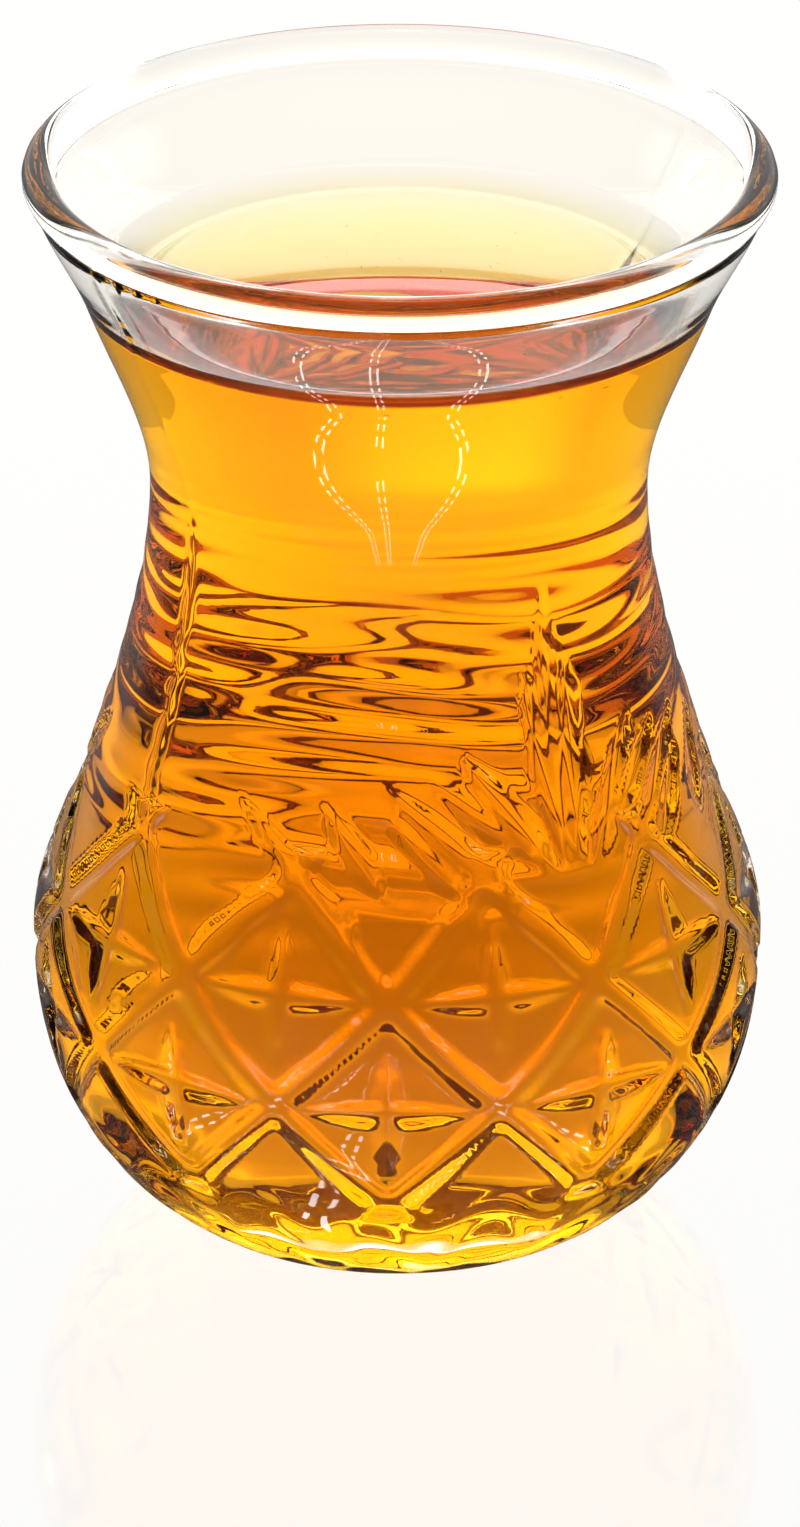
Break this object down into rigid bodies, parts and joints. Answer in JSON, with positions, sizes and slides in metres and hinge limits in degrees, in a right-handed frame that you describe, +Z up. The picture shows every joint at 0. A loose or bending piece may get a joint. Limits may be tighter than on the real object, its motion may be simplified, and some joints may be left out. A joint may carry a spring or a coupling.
{
  "type": "tea glass",
  "caption": "Waisted clear tea glass with pressed diamonds and leaf fans round its belly, a flared round-lipped rim, filled with amber tea to below the rim.",
  "frame": {"origin": "centre of the flat foot, on the surface the glass stands on", "axes": "+Z up the axis of the glass to the rim; -Y is about the side the picture shows, with the middle of one leaf fan 36 degrees round from it towards +X"},
  "size_m": [0.0598, 0.0598, 0.09],
  "materials": {
    "clear_glass": "polished clear",
    "tea_amber": "clear amber liquid"
  },
  "bodies": {
    "root": {"glass": "clear_glass", "tea": "tea_amber"}
  },
  "joints": []
}
